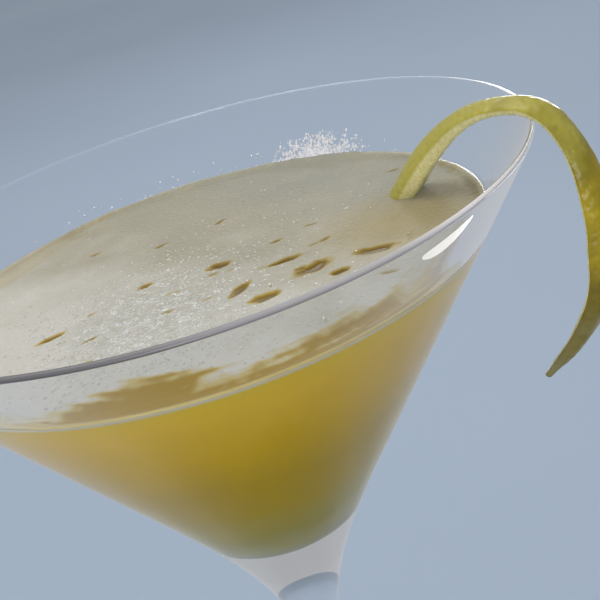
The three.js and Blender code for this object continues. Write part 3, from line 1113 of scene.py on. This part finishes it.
bm = bmesh.new()
bmesh.ops.create_grid(bm, x_segments=1, y_segments=1, size=FLOOR_HALF)
bmesh.ops.translate(bm, verts=bm.verts, vec=(0, 0, -FLOOR_DROP))
floor_mesh = bpy.data.meshes.new("floor")
bm.to_mesh(floor_mesh)
bm.free()
floor_finish, tree, shader = new_material("matt painted board")
place = add_node(tree, "ShaderNodeTexCoord")
shade = add_node(tree, "ShaderNodeTexNoise", {"Vector": place.outputs["Object"], "Scale": 3.0})
paint = add_node(tree, "ShaderNodeValToRGB", {"Fac": shade.outputs["Fac"]}, stops=(
    (0.3, "#b3c5d9"), (0.7, "#b9cadd"),
))
set_inputs(tree, shader, {"Base Color": paint.outputs["Color"], "Roughness": 0.7})
floor_mesh.materials.append(floor_finish)
floor = bpy.data.objects.new("floor", floor_mesh)
bpy.context.scene.collection.objects.link(floor)
floor.visible_glossy = False

# %% [markdown]
# Soft studio light: a pale sky, one large round soft box above on the left, two low ones with grids,
# in front and at the rear, that light the cone of the drink and not the floor under it, a high one at
# the back that draws the bright lines on the rim and the glints on the bubbles, and a narrow strip
# beside the glass that puts a streak on the wall.
# The wall of the bowl leans out, so it mirrors what is below it. The floor and the foot are left out
# of mirror images, because their pale image would lie over the drink like a veil. In their place the
# wall mirrors the lower half of the sky, which is dark straight below, as a dark card would be.

# %% Light
SKY_STRENGTH = 0.72

# Colours of the sky from straight below, at 0, to the horizon and everything above it, at 1
SKY_STOPS = ((0.02, "#70747c"), (0.12, "#bcc2cc"), (0.3, "#dbe0e8"), (1.0, "#d0d0d2"))
BOWL_MIDDLE = (0, 0, RIM_HEIGHT - 30 * MM)
NEAR_RIGHT_WALL = (29.3 * MM, -44.1 * MM, RIM_HEIGHT - 3 * MM)
LEVEL = (1, 0, 0)
STRIP_SIDE = (0.31, 0.77, 0.56)
BOUNCES = 24

# Name, place, aim, direction of the first side, both sides in metres, power in watts and spread in
# degrees
SOFT_BOXES = (
    ("key_box", (-0.24, 0.20, 1.08), BOWL_MIDDLE, LEVEL, 0.7, 0.7, 3.6, 180),
    ("front_box", (-0.18, -0.70, 0.16), BOWL_MIDDLE, LEVEL, 0.30, 0.20, 0.07, 24),
    ("rear_box", (0.35, 0.65, 0.16), BOWL_MIDDLE, LEVEL, 0.30, 0.20, 0.07, 24),
    ("back_box", (0.20, 1.07, 0.63), BOWL_MIDDLE, LEVEL, 0.30, 0.10, 0.5, 180),
    ("strip_box", (0.088, 0.014, 0.082), NEAR_RIGHT_WALL, STRIP_SIDE, 0.036, 0.0032, 0.0007, 180),
)

world = bpy.data.worlds.new("studio")
world.use_nodes = True
tree = world.node_tree
place = add_node(tree, "ShaderNodeTexCoord")
axes = add_node(tree, "ShaderNodeSeparateXYZ", {"Vector": place.outputs["Generated"]})
height = add_node(tree, "ShaderNodeMapRange", {
    "Value": axes.outputs["Z"],
    "From Min": -1.0,
    "From Max": 0.0,
})
sky = add_node(tree, "ShaderNodeValToRGB", {"Fac": height.outputs["Result"]}, stops=SKY_STOPS)
set_inputs(tree, tree.nodes["Background"], {
    "Color": sky.outputs["Color"],
    "Strength": SKY_STRENGTH,
})
bpy.context.scene.world = world
for name, spot, aim, side, length, width, power, spread in SOFT_BOXES:
    light_data = bpy.data.lights.new(name, "AREA")
    light_data.shape = "ELLIPSE"
    light_data.size = length
    light_data.size_y = width
    light_data.energy = power
    light_data.spread = math.radians(spread)
    light = bpy.data.objects.new(name, light_data)
    away = (Vector(spot) - Vector(aim)).normalized()
    second_side = away.cross(Vector(side)).normalized()
    turn = Matrix((second_side.cross(away), second_side, away)).transposed().to_4x4()
    light.matrix_world = Matrix.Translation(spot) @ turn
    light.visible_camera = False
    light.visible_transmission = False
    bpy.context.scene.collection.objects.link(light)
bpy.context.scene.view_settings.view_transform = "Standard"
bpy.context.scene.cycles.max_bounces = BOUNCES
bpy.context.scene.cycles.transmission_bounces = BOUNCES
bpy.context.scene.cycles.glossy_bounces = BOUNCES
print("lights", [name for name, *_ in SOFT_BOXES])

# %% [markdown]
# Last, the scene is brought up to date.

# %% Bring the scene up to date
bpy.context.view_layer.update()
